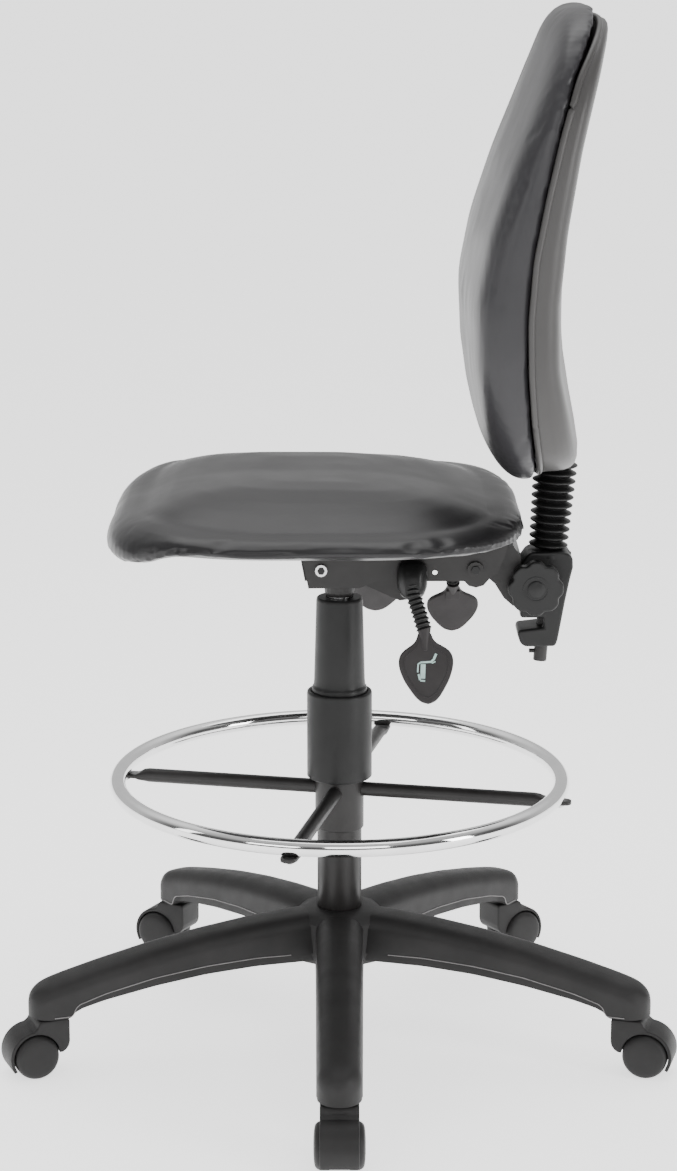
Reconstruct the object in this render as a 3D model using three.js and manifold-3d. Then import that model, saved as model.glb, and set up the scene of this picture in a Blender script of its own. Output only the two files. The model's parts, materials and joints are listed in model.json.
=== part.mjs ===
// Drafting chair with a foot ring. Millimetres, +Z up, the chair faces -Y and the floor is z = 0.
import * as THREE from 'three';
import { mergeVertices } from 'three/addons/utils/BufferGeometryUtils.js';
import Module from 'manifold-3d';

const wasm = await Module();
wasm.setup();

// ---- driving dimensions ----
const CENTRE_SHIFT_X = -33;      // moves the column so that the whole chair is centred on the origin
const GAP = 0.3;                 // running gap between neighbouring pieces
const LEG_COUNT = 5;
const STEM_RADIUS = 338;         // column axis to caster stem axis
const WHEEL_RADIUS = 25;
const WHEEL_FACETS = 16;
const WHEEL_INNER = 9.5;         // half the space between twin wheels
const WHEEL_OUTER = 27;          // half the width over both wheels
const CASTER_TRAIL = 22;
const HOOD_INNER = 26.4;         // hood round the wheels: inner and outer radius, half width, top
const HOOD_OUTER = 30;
const HOOD_HALF = 20.4;
const HOOD_TOP = 65.7;
const COLUMN_R = 25;
const RING_R = 249.6;            // foot ring, to the middle of its tube
const RING_TUBE_R = 9;
const RING_Z = 307.7;
const SPOKE_TURN = THREE.MathUtils.degToRad(-12);
const CYLINDER_R = 14;           // gas cylinder
const TILT_PIVOT = [-20, 560];   // [y, z] of the front pivot of the mechanism
const BACK_PIVOT = [148, 561];   // [y, z] of the rear pivot
const SEAT_HALF_X = 248;
const SEAT_HALF_Y = 230.5;
const SEAT_MID_Y = -23.5;
const BACK_HALF_X = 222;
const BACK_HALF_Z = 253;
const BACK_MID_Z = 910;
const UPRIGHT_TAN = 0.07;        // lean of the back upright
const UPRIGHT_R = 7.5;

// Direction each caster trails in, degrees from +X, one per leg starting with the leg along +X.
const TRAILS = [0, 74, 124, -118, -67];

// ---- helpers ----
const polar = (r, a) => [r * Math.cos(a), r * Math.sin(a)];
const flipped = (geo) => {
  const idx = geo.index.array;
  for (let i = 0; i < idx.length; i += 3) [idx[i + 1], idx[i + 2]] = [idx[i + 2], idx[i + 1]];
  return geo;
};
const volume = (geo) => {
  const p = geo.attributes.position, idx = geo.index.array;
  const v = [new THREE.Vector3(), new THREE.Vector3(), new THREE.Vector3()];
  let sum = 0;
  for (let i = 0; i < idx.length; i += 3) {
    for (let k = 0; k < 3; k++) v[k].fromBufferAttribute(p, idx[i + k]);
    sum += v[0].dot(v[1].clone().cross(v[2]));
  }
  return sum / 6;
};
// One welded, outward-facing body.
function clean(geo) {
  const g = geo.clone();
  g.deleteAttribute('normal');
  g.deleteAttribute('uv');
  const m = mergeVertices(g, 1e-4);
  const keep = [], idx = m.index.array;
  for (let i = 0; i < idx.length; i += 3) {
    const [a, b, c] = [idx[i], idx[i + 1], idx[i + 2]];
    if (a !== b && b !== c && a !== c) keep.push(a, b, c);
  }
  m.setIndex(keep);
  return volume(m) < 0 ? flipped(m) : m;
}
function toSolid(geo) {
  const g = clean(geo);
  return new wasm.Manifold(new wasm.Mesh({
    numProp: 3,
    vertProperties: new Float32Array(g.attributes.position.array),
    triVerts: new Uint32Array(g.index.array),
  }));
}
function fromSolid(solid) {
  const mesh = solid.getMesh();
  const g = new THREE.BufferGeometry();
  g.setAttribute('position', new THREE.BufferAttribute(new Float32Array(mesh.vertProperties), 3));
  g.setIndex(Array.from(mesh.triVerts));
  return g;
}
function combine(first, added = [], removed = []) {
  let s = toSolid(first);
  for (const g of added) s = s.add(toSolid(g));
  for (const g of removed) s = s.subtract(toSolid(g));
  return fromSolid(s);
}
// Lathe about Z from [radius, z] points.
function turned(points, segments) {
  const pts = points.map(([r, z]) => new THREE.Vector2(r, z));
  return clean(new THREE.LatheGeometry(pts, segments).rotateX(Math.PI / 2));
}
// A tube-shaped ring about Z: the profile closes on itself.
const sleeve = (points, segments) => turned([...points, points[0]], segments);
const rod = (r, length, segments, axis = 'z') => {
  const g = new THREE.CylinderGeometry(r, r, length, segments);
  if (axis === 'z') g.rotateX(Math.PI / 2);
  if (axis === 'x') g.rotateZ(Math.PI / 2);
  return g;
};
const block = (x0, x1, y0, y1, z0, z1) =>
  new THREE.BoxGeometry(x1 - x0, y1 - y0, z1 - z0).translate((x0 + x1) / 2, (y0 + y1) / 2, (z0 + z1) / 2);
// A [y, z] outline given a thickness from x0 to x1, with optional round holes [y, z, r].
function plate(points, x0, x1, holes = []) {
  const shape = new THREE.Shape(points.map(([y, z]) => new THREE.Vector2(y, z)));
  for (const [y, z, r] of holes) {
    const path = new THREE.Path();
    path.absarc(y, z, r, 0, Math.PI * 2, true);
    shape.holes.push(path);
  }
  const g = new THREE.ExtrudeGeometry(shape, { depth: x1 - x0, bevelEnabled: false, curveSegments: 7 });
  const turn = new THREE.Matrix4().set(0, 0, 1, x0, 1, 0, 0, 0, 0, 1, 0, 0, 0, 0, 0, 1);
  return clean(g.applyMatrix4(turn));
}
function tube(points, r, sides, steps) {
  const curve = new THREE.CatmullRomCurve3(points.map((p) => new THREE.Vector3(...p)), false, 'centripetal');
  const shape = new THREE.Shape();
  shape.absarc(0, 0, r, 0, Math.PI * 2, false);
  return new THREE.ExtrudeGeometry(shape, {
    steps, extrudePath: curve, curveSegments: sides / 2, bevelEnabled: false,
  });
}
// Straight-line reading of a list of [position, value] stations.
function reading(stations, at) {
  if (at <= stations[0][0]) return stations[0][1];
  for (let i = 1; i < stations.length; i++) {
    const [x0, y0] = stations[i - 1], [x1, y1] = stations[i];
    if (at <= x1) return y0 + (y1 - y0) * (at - x0) / (x1 - x0);
  }
  return stations[stations.length - 1][1];
}
const outline = (a, b, n, angle) =>
  (Math.abs(Math.cos(angle) / a) ** n + Math.abs(Math.sin(angle) / b) ** n) ** (-1 / n);

const group = new THREE.Group();
group.name = 'drafting_chair';
const chair = new THREE.Group();
chair.position.x = CENTRE_SHIFT_X;
group.add(chair);

const LOOKS = {
  nylon: [0x262627, 0.62, 0.0], steel: [0x1d1d1f, 0.45, 0.5], chrome: [0xd9dbde, 0.12, 1.0],
  bright: [0xbfc2c6, 0.2, 1.0], vinyl: [0x232326, 0.42, 0.0], rubber: [0x1a1a1b, 0.7, 0.0],
  plastic: [0x242425, 0.5, 0.0], wood: [0xb08d5e, 0.8, 0.0], brass: [0xa98a4a, 0.4, 0.9],
};
function part(name, geo, look, parent = chair) {
  const [color, roughness, metalness] = LOOKS[look];
  const g = clean(geo);
  g.computeVertexNormals();
  const mesh = new THREE.Mesh(g, new THREE.MeshStandardMaterial({ color, roughness, metalness }));
  mesh.name = name;
  parent.add(mesh);
  return mesh;
}

// ---- star base ----
const LEG_TOP = [[20, 156], [59, 155], [106, 153], [165, 147], [223, 138], [280, 126], [318, 114], [338, 107.5]];
const LEG_LINE = [[20, 112], [106, 113], [165, 110], [223, 103], [280, 92], [318, 80], [338, 78]];
const LEG_BOTTOM = [[20, 103], [106, 103], [165, 100], [223, 93], [280, 83], [318, 74], [338, 70]];
const LEG_WIDTH = [[20, 27], [120, 25.5], [338, 23]];
// A bar along +X between two stations, its top domed by `crown`.
function legBar(r0, r1, bottom, top, inset, crown, across, tall) {
  const g = new THREE.BoxGeometry(1, 1, 1, 6, across, tall);
  const p = g.attributes.position;
  for (let i = 0; i < p.count; i++) {
    const r = r0 + (p.getX(i) + 0.5) * (r1 - r0);
    const t = p.getY(i) * 2, h = p.getZ(i) + 0.5;
    const low = reading(bottom, r), high = reading(top, r) - inset;
    const dome = crown * Math.abs(t) ** 2.6;
    p.setXYZ(i, r, t * (reading(LEG_WIDTH, r) - inset - 1.5 * h * h), low + h * (high - dome - low));
  }
  return g;
}
function legPieces() {
  const skin = legBar(20, STEM_RADIUS, LEG_LINE, LEG_TOP, 0, 15, 4, 2);
  const rib = legBar(24, STEM_RADIUS - 22, LEG_BOTTOM, LEG_TOP, 3, 13, 1, 1);
  const hollow = legBar(58, STEM_RADIUS - 28, LEG_BOTTOM.map(([r, z]) => [r, z - 30]), LEG_TOP, 7, 10, 1, 1);
  const tip = turned([[0, 67], [23.2, 67], [24, 74], [24, 88], [22, 96.5], [16, 103.5], [0, 106.5]], 16)
    .translate(STEM_RADIUS, 0, 0);
  const socket = rod(5.5 + GAP, 30, 10).translate(STEM_RADIUS, 0, 81);
  return [skin, rib, tip, hollow, socket];
}
const hubOuter = turned([[0, 96], [43, 96], [46, 104], [44, 146], [36, 155], [29, 157.5], [0, 157.5]], 30);
const legAngle = (k) => (k * 2 * Math.PI) / LEG_COUNT;
const added = [], removed = [];
for (let k = 0; k < LEG_COUNT; k++) {
  const [skin, rib, tip, hollow, socket] = legPieces().map((g) => g.rotateZ(legAngle(k)));
  added.push(skin, rib, tip);
  removed.push(hollow, socket);
}
removed.push(rod(COLUMN_R + GAP, 100, 30).translate(0, 0, 130));
part('star_base', combine(hubOuter, added, removed), 'nylon');

// ---- casters ----
function hoodShape() {
  // Outline in the caster's own [x, z]: wraps the top and the stem side of the wheels.
  const s = new THREE.Shape();
  const cx = CASTER_TRAIL, cz = WHEEL_RADIUS;
  s.absarc(cx, cz, HOOD_INNER, THREE.MathUtils.degToRad(-30), THREE.MathUtils.degToRad(176), false);
  s.lineTo(-8, 26);
  s.lineTo(-13.5, 30);
  s.lineTo(-16.5, 38);
  s.lineTo(-16.5, HOOD_TOP);
  s.lineTo(15, HOOD_TOP);
  s.lineTo(20.5, 60);
  s.absarc(cx, cz, HOOD_OUTER, THREE.MathUtils.degToRad(84), THREE.MathUtils.degToRad(-30), true);
  s.closePath();
  return s;
}
function centreShape() {
  const s = new THREE.Shape();
  const cx = CASTER_TRAIL, cz = WHEEL_RADIUS;
  s.moveTo(-7, 28);
  s.lineTo(-13, 34);
  s.lineTo(-13, 60);
  s.lineTo(20, 60);
  s.absarc(cx, cz, 28, THREE.MathUtils.degToRad(80), THREE.MathUtils.degToRad(10), true);
  s.absarc(cx, cz, 14.5, THREE.MathUtils.degToRad(-5), THREE.MathUtils.degToRad(-120), true);
  s.closePath();
  return s;
}
const across = (shape, half, steps) => {
  const g = new THREE.ExtrudeGeometry(shape, { depth: 2 * half, bevelEnabled: false, curveSegments: steps });
  return g.rotateX(Math.PI / 2).translate(0, half, 0);
};
const hoodSolid = combine(across(hoodShape(), HOOD_HALF, 11), [across(centreShape(), WHEEL_INNER - 1.1, 4)], [
  rod(5.5 + GAP, 30, 10).translate(0, 0, 54),
  rod(3 + GAP, 40, 10, 'y').translate(CASTER_TRAIL, 0, WHEEL_RADIUS),
]);
const stemSolid = turned([[0, 40], [5.5, 40], [5.5, 92], [0, 92]], 10);
const axleSolid = rod(3, 46, 8, 'y').translate(CASTER_TRAIL, 0, WHEEL_RADIUS);
const rim = WHEEL_RADIUS / Math.cos(Math.PI / WHEEL_FACETS);
const wheelSolid = turned([
  [0, WHEEL_OUTER], [13, WHEEL_OUTER], [22.5, WHEEL_OUTER - 1.2], [rim, WHEEL_OUTER - 4.5],
  [rim, WHEEL_INNER + 1.5], [21, WHEEL_INNER], [3 + GAP, WHEEL_INNER], [3 + GAP, 24], [0, 24],
], WHEEL_FACETS).rotateZ(Math.PI / WHEEL_FACETS);
for (let k = 0; k < LEG_COUNT; k++) {
  const caster = new THREE.Group();
  const [x, y] = polar(STEM_RADIUS, legAngle(k));
  caster.position.set(x, y, 0);
  caster.rotation.z = THREE.MathUtils.degToRad(TRAILS[k]);
  chair.add(caster);
  const n = k + 1;
  part(`caster_stem_${n}`, stemSolid, 'steel', caster);
  part(`caster_hood_${n}`, hoodSolid, 'nylon', caster);
  part(`caster_axle_${n}`, axleSolid, 'steel', caster);
  for (const [side, turn] of [['left', -Math.PI / 2], ['right', Math.PI / 2]]) {
    const wheel = part(`caster_wheel_${side}_${n}`, wheelSolid, 'nylon', caster);
    wheel.rotation.x = turn;
    wheel.position.set(CASTER_TRAIL, 0, WHEEL_RADIUS);
  }
}

// ---- column ----
part('column_tube', sleeve([[4.6, 80], [COLUMN_R, 80], [COLUMN_R, 400], [23.5, 400], [23.5, 505],
  [21.5, 505], [21.5, 84], [4.6, 84]], 24), 'steel');
part('guide_bush', sleeve([[CYLINDER_R + GAP, 330], [21.5 - GAP, 330], [21.5 - GAP, 500],
  [CYLINDER_R + GAP, 500]], 20), 'plastic');
part('piston_rod', rod(4, 193, 12).translate(0, 0, 168.5), 'bright');
part('thrust_bearing', sleeve([[4 + GAP, 84 + GAP], [10, 84 + GAP], [10, 90], [4 + GAP, 90]], 16), 'steel');
part('rod_clip', sleeve([[4 + GAP, 76.5], [8.5, 76.5], [8.5, 79.5], [4 + GAP, 79.5]], 16), 'steel');
part('column_cover', sleeve([[23.5 + GAP, 400 + GAP], [31, 400 + GAP], [31, 414], [29.3, 417.5], [28.8, 419],
  [25.9, 515], [24.9, 518], [15.5, 518], [15.5, 512], [23.5 + GAP, 512]], 24), 'plastic');
part('gas_cylinder', turned([[0, 275], [4 + GAP, 275], [4 + GAP, 120], [CYLINDER_R, 120],
  [CYLINDER_R, 538], [12.5, 540], [0, 540]], 20), 'bright');
part('valve_pin', rod(3, 8, 10).translate(0, 0, 544 + GAP), 'bright');

// ---- foot ring ----
const ringProfile = [];
for (let i = 0; i < 8; i++) {
  const [dr, dz] = polar(RING_TUBE_R, ((i + 0.5) * Math.PI) / 4);
  ringProfile.push([RING_R + dr, RING_Z + dz]);
}
part('foot_ring', sleeve(ringProfile, 44), 'chrome');
const SPOKE_Z = 296.6;
const hub = sleeve([[COLUMN_R + GAP, 251], [27.4, 251], [27.4, 309.4], [COLUMN_R + GAP, 309.4]], 24);
const spokes = [];
for (let k = 0; k < 4; k++) {
  const turn = SPOKE_TURN + (k * Math.PI) / 2;
  spokes.push(rod(8, 206, 12, 'x').translate(129.5, 0, SPOKE_Z - 0.3).rotateZ(turn));
  const ear = new THREE.BoxGeometry(44, 19, 4.6, 2, 1, 1);
  const p = ear.attributes.position;
  for (let i = 0; i < p.count; i++) if (p.getX(i) > 10) p.setY(i, p.getY(i) * 0.62);
  spokes.push(ear.translate(241, 0, SPOKE_Z - 0.6).rotateZ(turn));
}
part('foot_ring_frame', combine(hub, spokes, [rod(COLUMN_R + GAP, 120, 24).translate(0, 0, 280)]), 'steel');
part('locking_collar', sleeve([[COLUMN_R + GAP, 310], [35, 310], [36.5, 312], [36.5, 408], [35.3, 410.5],
  [31 + GAP + 0.4, 410.5], [31 + GAP + 0.4, 396], [COLUMN_R + GAP, 391]], 24), 'plastic');

// ---- mechanism ----
const housingBody = plate([[-44, 577], [-38, 545], [14, 545], [26, 541], [66, 523], [74, 524], [92, 551],
  [92, 572], [60, 579]], -40, 40);
const neck = turned([[0, 520], [15.5, 520], [16.5, 524], [18.5, 547], [0, 547]], 20);
part('mechanism_housing', combine(housingBody, [neck], [
  rod(CYLINDER_R + GAP, 40, 20).translate(0, 0, 521),
  rod(7, 30, 12).translate(0, 0, 555),
  rod(6 + GAP, 120, 14, 'x').translate(0, TILT_PIVOT[0], TILT_PIVOT[1]),
]), 'steel');
const LEVERS = {
  back_angle: { y: 79, z: 556, side: 1 },
  height: { y: 42, z: 556, side: -1 },
  tilt: { y: 122, z: 564, side: -1 },
};
const flange = [[-47, 592], [-40.5, 573], [-34, 539.5], [22, 540], [40, 547.7], [136, 547.7], [141, 542.5],
  [149, 540.5], [157, 543], [163, 550], [172, 557], [180, 575], [184, 592]];
const nearHoles = [[...TILT_PIVOT, 6 + GAP], [...BACK_PIVOT, 6 + GAP], [104, 557, 3], [79, 556, 6.3]];
const farHoles = [[...TILT_PIVOT, 6 + GAP], [...BACK_PIVOT, 6 + GAP], [104, 557, 3], [42, 556, 6.3],
  [122, 564, 6.3]];
part('seat_plate', combine(block(-53, 53, -47, 184, 590, 596.9),
  [plate(flange, 49, 53, nearHoles), plate(flange, -53, -49, farHoles)]), 'steel');
const pin = (y, z, headR) => combine(rod(6, 108, 12, 'x').translate(0, y, z), [
  rod(headR, 4, 12, 'x').translate(53 + GAP + 2, y, z), rod(headR, 4, 12, 'x').translate(-53 - GAP - 2, y, z)]);
part('tilt_pivot_pin', pin(...TILT_PIVOT, 6.6), 'bright');
part('back_pivot_pin', pin(...BACK_PIVOT, 9), 'steel');
const coil = [];
for (let i = 0; i <= 32; i++) {
  const [dy, dz] = polar(11, (i * 2 * Math.PI) / 8);
  coil.push([-14 + (i * 28) / 32, BACK_PIVOT[0] + dy, BACK_PIVOT[1] + dz]);
}
part('back_return_spring', tube(coil, 2, 4, 32), 'steel');

// ---- seat ----
const SEAT_ALONG = [[-257, -60], [-240, -34], [-214, -21], [-180, -9], [-146, -3], [-100, 0], [0, -1.5], [68, -5],
  [102, -10], [136, -18], [159, -26], [181, -38], [207, -62]];
const SEAT_ACROSS = [[0, 658.5], [40, 661], [75, 664], [110, 661], [150, 652], [190, 640], [248, 622]];
const seatTop = (x, y) => Math.max(620, reading(SEAT_ACROSS, Math.abs(x)) + reading(SEAT_ALONG, y));
// Rings of [fraction of the outline, height or a function of place].
function pad(rings, segments, place) {
  const profile = rings.map(([f], i) => new THREE.Vector2(f, i));
  const g = new THREE.LatheGeometry(profile, segments);
  const p = g.attributes.position;
  for (let i = 0; i < p.count; i++) {
    const level = Math.round(p.getY(i));
    p.setXYZ(i, ...place(rings[level][0], Math.atan2(p.getZ(i), p.getX(i)), rings[level][1]));
  }
  return clean(g);
}
const seatPlace = (f, angle, height) => {
  const r = f * outline(SEAT_HALF_X, SEAT_HALF_Y, 3.7, angle);
  const x = r * Math.cos(angle), y = SEAT_MID_Y + r * Math.sin(angle);
  return [x, y, typeof height === 'function' ? height(x, y) : height];
};
// Lower edge of the cushion: a front lip that hangs down, then a nearly level side.
const SEAT_EDGE = [[-254, 599.5], [-225, 601], [-195, 607], [-160, 612.5], [-80, 612.5], [0, 614], [207, 614]];
const seatEdge = (x, y) => reading(SEAT_EDGE, y);
part('seat_cushion', pad([
  [0, 606.3], [0.86, 606.3], [0.93, seatEdge], [0.96, seatEdge], [0.99, (x, y) => seatEdge(x, y) + 4.5],
  [1, (x, y) => seatEdge(x, y) + 10], [0.985, (x, y) => 631 + 0.3 * (seatEdge(x, y) - 614)],
  [0.93, (x, y) => 0.6 * seatTop(x, y) + 0.4 * 640], [0.82, seatTop], [0.62, seatTop], [0.38, seatTop],
  [0.18, seatTop], [0, seatTop]], 36, seatPlace), 'vinyl');
part('seat_pan', pad([[0, 597.2], [0.66, 597.2], [0.69, 599.5], [0.69, 606], [0, 606]], 28, seatPlace), 'plastic');

// ---- back ----
const BACK_FRONT = [[657, 173], [700, 154], [750, 142], [800, 134], [865, 130], [930, 140], [1000, 159],
  [1065, 182], [1115, 200], [1163, 220]];
const BACK_SEAM = [[657, 211], [700, 206], [750, 198.5], [800, 194], [855, 192.5], [916, 197], [980, 209],
  [1037, 222], [1097, 239], [1147, 259], [1163, 266]];
const BACK_REAR = [[657, 256], [700, 257], [750, 249], [800, 240.5], [865, 240.7], [941, 248], [1022, 261],
  [1098, 277.7], [1163, 289]];
// Each ring: [fraction, spot], spot 0 at the seam, 1 at the rear face, -1 at the front face, plus a shift.
const backPlace = (f, angle, [spot, shift]) => {
  const r = f * outline(BACK_HALF_X, BACK_HALF_Z, 3.3, angle);
  const x = r * Math.cos(angle), z = BACK_MID_Z + r * Math.sin(angle);
  const seam = reading(BACK_SEAM, z);
  // both faces fall back towards the seam at the sides
  const curl = Math.hypot(x, 30) - 30;
  const face = spot < 0 ? reading(BACK_FRONT, z) + 0.045 * curl : reading(BACK_REAR, z) - 0.09 * curl;
  return [x, seam + Math.abs(spot) * (face - seam) + shift, z];
};
// The rear shell stops a little short of the cushion at its top and bottom.
const shellPlace = (f, angle, spot) => {
  const [x, y, z] = backPlace(f, angle, spot);
  return [x, y, z - 11 * Math.max(0, (z - 1040) / 123) ** 2 + 8 * Math.max(0, (760 - z) / 103) ** 2];
};
part('back_cushion', pad([
  [0, [0, -GAP]], [0.4, [0, -GAP]], [0.7, [0, -GAP]], [0.86, [0, -GAP]], [0.96, [0, -GAP]], [0.992, [-0.05, -GAP]], [1, [-0.2, -1]],
  [0.985, [-0.45, 0]], [0.94, [-0.75, 0]], [0.86, [-0.94, 0]], [0.7, [-1, 0]], [0.45, [-1, 0]], [0.2, [-1, 0]],
  [0, [-1, 0]]], 32, backPlace), 'vinyl');
const shellSolid = pad([
  [0, [1, 0]], [0.45, [1, 0]], [0.72, [1, 0]], [0.88, [0.97, 0]], [0.95, [0.84, 0]], [0.985, [0.5, 0]],
  [0.99, [0, 1.6]], [0.975, [0, 0.7]], [0.95, [0, 0.7]], [0.945, [0.45, 0]], [0.91, [0.74, 0]], [0.85, [0.86, -1]],
  [0.5, [0.9, -1]], [0, [0.9, -1]]], 32, shellPlace);
const uprightY = (z) => 232.5 + (z - 573) * UPRIGHT_TAN;
const leaning = (geo, z) => geo.rotateX(-Math.atan(UPRIGHT_TAN)).translate(0, uprightY(z), z);
part('back_shell', combine(shellSolid, [], [leaning(rod(10, 60, 16), 668),
  block(-18.6, 18.6, 226, 253, 679, 765)]), 'vinyl');
part('back_board', pad([[0, [0, 10]], [0.4, [0, 10]], [0.7, [0, 10]], [0.86, [0, 10]], [0.86, [0, 1]], [0.7, [0, 1]],
  [0.4, [0, 1]], [0, [0, 1]]], 32, backPlace), 'wood');

const strap = plate([[232, 682], [232, 698], [224, 712], [216, 740], [209.5, 770], [206, 800], [206.5, 860],
  [212, 860], [212, 801], [215.5, 772], [222, 742], [231, 718], [248, 702], [252, 690], [252, 682]], -18, 18);
part('back_upright', combine(leaning(rod(UPRIGHT_R, 250, 14), 570), [strap]), 'steel');
part('upright_stop_pin', rod(2.4, 8, 8, 'y').translate(0, uprightY(456) - UPRIGHT_R - GAP - 4, 456), 'steel');
const ribs = [];
for (let i = 0; i <= 18; i++) {
  const t = i / 18, valley = i % 2 === 0 ? 5.5 : 0;
  ribs.push([22.6 + 2.8 * t - valley, -42 + 82 * t]);
}
part('bellows', leaning(sleeve([[9, -42], ...ribs, [9, 40]], 18), 615.5), 'rubber');

const housingOutline = [[207, 571.5], [250, 571.5], [258, 567], [259.5, 558], [257, 541], [251.5, 520], [240, 474],
  [237.5, 466], [203, 466], [197, 478], [197, 484], [226, 488], [225, 499], [199, 499], [199, 520], [199, 560]];
const bodyAbove = plate(housingOutline, -24, 24);
part('bracket_housing', combine(bodyAbove, [], [
  leaning(rod(UPRIGHT_R + GAP, 240, 14), 520),
  rod(4 + GAP, 60, 10, 'x').translate(40, 214, 540),
]), 'plastic');
const armSide = [[137, 553], [148, 550], [160, 551], [170, 542], [180, 526], [190, 517], [198.6, 517], [198.6, 572],
  [190, 584], [160, 584], [140, 574]];
const armHole = [[...BACK_PIVOT, 6 + GAP]];
part('back_arm', combine(plate(armSide, 36, 40, armHole), [plate(armSide, -40, -36, armHole),
  plate([[176, 533], [180, 526], [190, 517], [198.6, 517], [198.6, 572], [190, 584], [176, 584]], -38, 38)]), 'steel');

const knobPoints = [];
for (let i = 0; i < 32; i++) {
  const a = (i * 2 * Math.PI) / 32;
  const [y, z] = polar(29.4 + 1.1 * Math.cos(8 * a), a);
  knobPoints.push(new THREE.Vector2(y, z));
}
const knobBody = new THREE.ExtrudeGeometry(new THREE.Shape(knobPoints), {
  depth: 14, bevelEnabled: true, bevelThickness: 2.5, bevelSize: 2.5, bevelOffset: -2.5, bevelSegments: 1,
}).applyMatrix4(new THREE.Matrix4().set(0, 0, 1, 44, 1, 0, 0, 214, 0, 1, 0, 540, 0, 0, 0, 1));
part('adjust_knob', combine(knobBody, [rod(13, 17, 16, 'x').translate(33.5, 214, 540),
  rod(9.5, 2.4, 16, 'x').translate(61.2, 214, 540)], [rod(4 + GAP, 30, 10, 'x').translate(38, 214, 540)]), 'plastic');
part('knob_screw', rod(4, 42, 10, 'x').translate(31, 214, 540), 'bright');

// ---- levers ----
// Paddle outline: [half width, distance from its top] down one side.
const PADDLE = [[7.5, -4], [8.5, 4], [14, 12], [25, 19], [28, 26], [27.5, 34], [24, 45], [17, 60], [10, 70], [4, 74]];
function lever(name, { y, z, side }, bend, top, tip) {
  const s = side;
  const path = [[47 * s, y, z], [58 * s, y, z], ...bend, top];
  const boot = new THREE.CylinderGeometry(9, 14, 12, 12).rotateZ(-s * Math.PI / 2)
    .translate((53 + GAP + 6.2) * s, y, z);
  part(`${name}_lever_rod`, combine(tube(path, 5.6, 8, 8), [boot]), 'rubber');
  const shape = new THREE.Shape([
    ...PADDLE.map(([w, d]) => new THREE.Vector2(w, -d)),
    ...[...PADDLE].reverse().map(([w, d]) => new THREE.Vector2(-w, -d)),
  ]);
  const g = new THREE.ExtrudeGeometry(shape, {
    depth: 4.4, bevelEnabled: true, bevelThickness: 1.6, bevelSize: 1.8, bevelOffset: -1.8, bevelSegments: 1,
  });
  const down = new THREE.Vector3(...tip).sub(new THREE.Vector3(...top)).normalize();
  const out = new THREE.Vector3(s, 0, 0);
  out.addScaledVector(down, -out.dot(down)).normalize();
  const yAxis = down.clone().negate();
  const xAxis = yAxis.clone().cross(out);
  const m = new THREE.Matrix4().makeBasis(xAxis, yAxis, out);
  const start = new THREE.Vector3(...top).addScaledVector(out, -3.6).addScaledVector(down, 6.5);
  part(`${name}_lever_paddle`, g.applyMatrix4(m.setPosition(start)), 'plastic');
}
lever('back_angle', LEVERS.back_angle, [[71, 78.5, 552], [77, 78.5, 536], [82, 82, 516]], [86, 88, 502], [112, 92, 433]);
lever('height', LEVERS.height, [[-70, 42, 550], [-82, 42, 536]], [-98, 42, 524], [-153, 42, 472]);
lever('tilt', LEVERS.tilt, [[-68, 124, 556], [-80, 128, 536]], [-96, 130, 510], [-142, 131, 446]);

export default group;
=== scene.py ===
"""Looks of the drafting chair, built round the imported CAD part.

Sizes are millimetres, and x and y are measured from the column axis. X points to the side that the camera
sees, -Y to the front of the chair and Z up.
"""
import json
import math

import bmesh
import bpy
import numpy as np
from mathutils import Matrix, Vector


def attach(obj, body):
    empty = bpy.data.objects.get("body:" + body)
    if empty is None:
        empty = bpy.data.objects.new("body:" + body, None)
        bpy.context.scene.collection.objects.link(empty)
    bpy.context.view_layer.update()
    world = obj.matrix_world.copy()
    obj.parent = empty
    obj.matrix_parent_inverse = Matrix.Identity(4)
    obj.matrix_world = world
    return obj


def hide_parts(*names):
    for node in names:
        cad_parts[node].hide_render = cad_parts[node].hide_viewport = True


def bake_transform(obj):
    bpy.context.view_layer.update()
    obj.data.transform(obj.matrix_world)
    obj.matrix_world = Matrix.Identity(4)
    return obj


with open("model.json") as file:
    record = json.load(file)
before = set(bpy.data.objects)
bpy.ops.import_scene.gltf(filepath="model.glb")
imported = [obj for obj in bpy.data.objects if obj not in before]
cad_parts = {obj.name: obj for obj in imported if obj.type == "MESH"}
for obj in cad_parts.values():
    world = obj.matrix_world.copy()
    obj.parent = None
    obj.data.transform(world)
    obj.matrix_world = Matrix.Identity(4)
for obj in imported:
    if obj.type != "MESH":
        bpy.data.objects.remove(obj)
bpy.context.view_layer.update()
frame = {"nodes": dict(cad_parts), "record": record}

MM = 0.001
COLUMN_X = -33.0        # the column axis in the shared frame, in millimetres
LEG_COUNT = 5
LEG_STEP = 2 * math.pi / LEG_COUNT


# ---------------------------------------------------------------- materials
RELIEF = 0.6            # height of the finest surface relief


def rgb(level, tint=(1.0, 1.0, 1.0)):
    return [level * t for t in tint] + [1.0]


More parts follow.
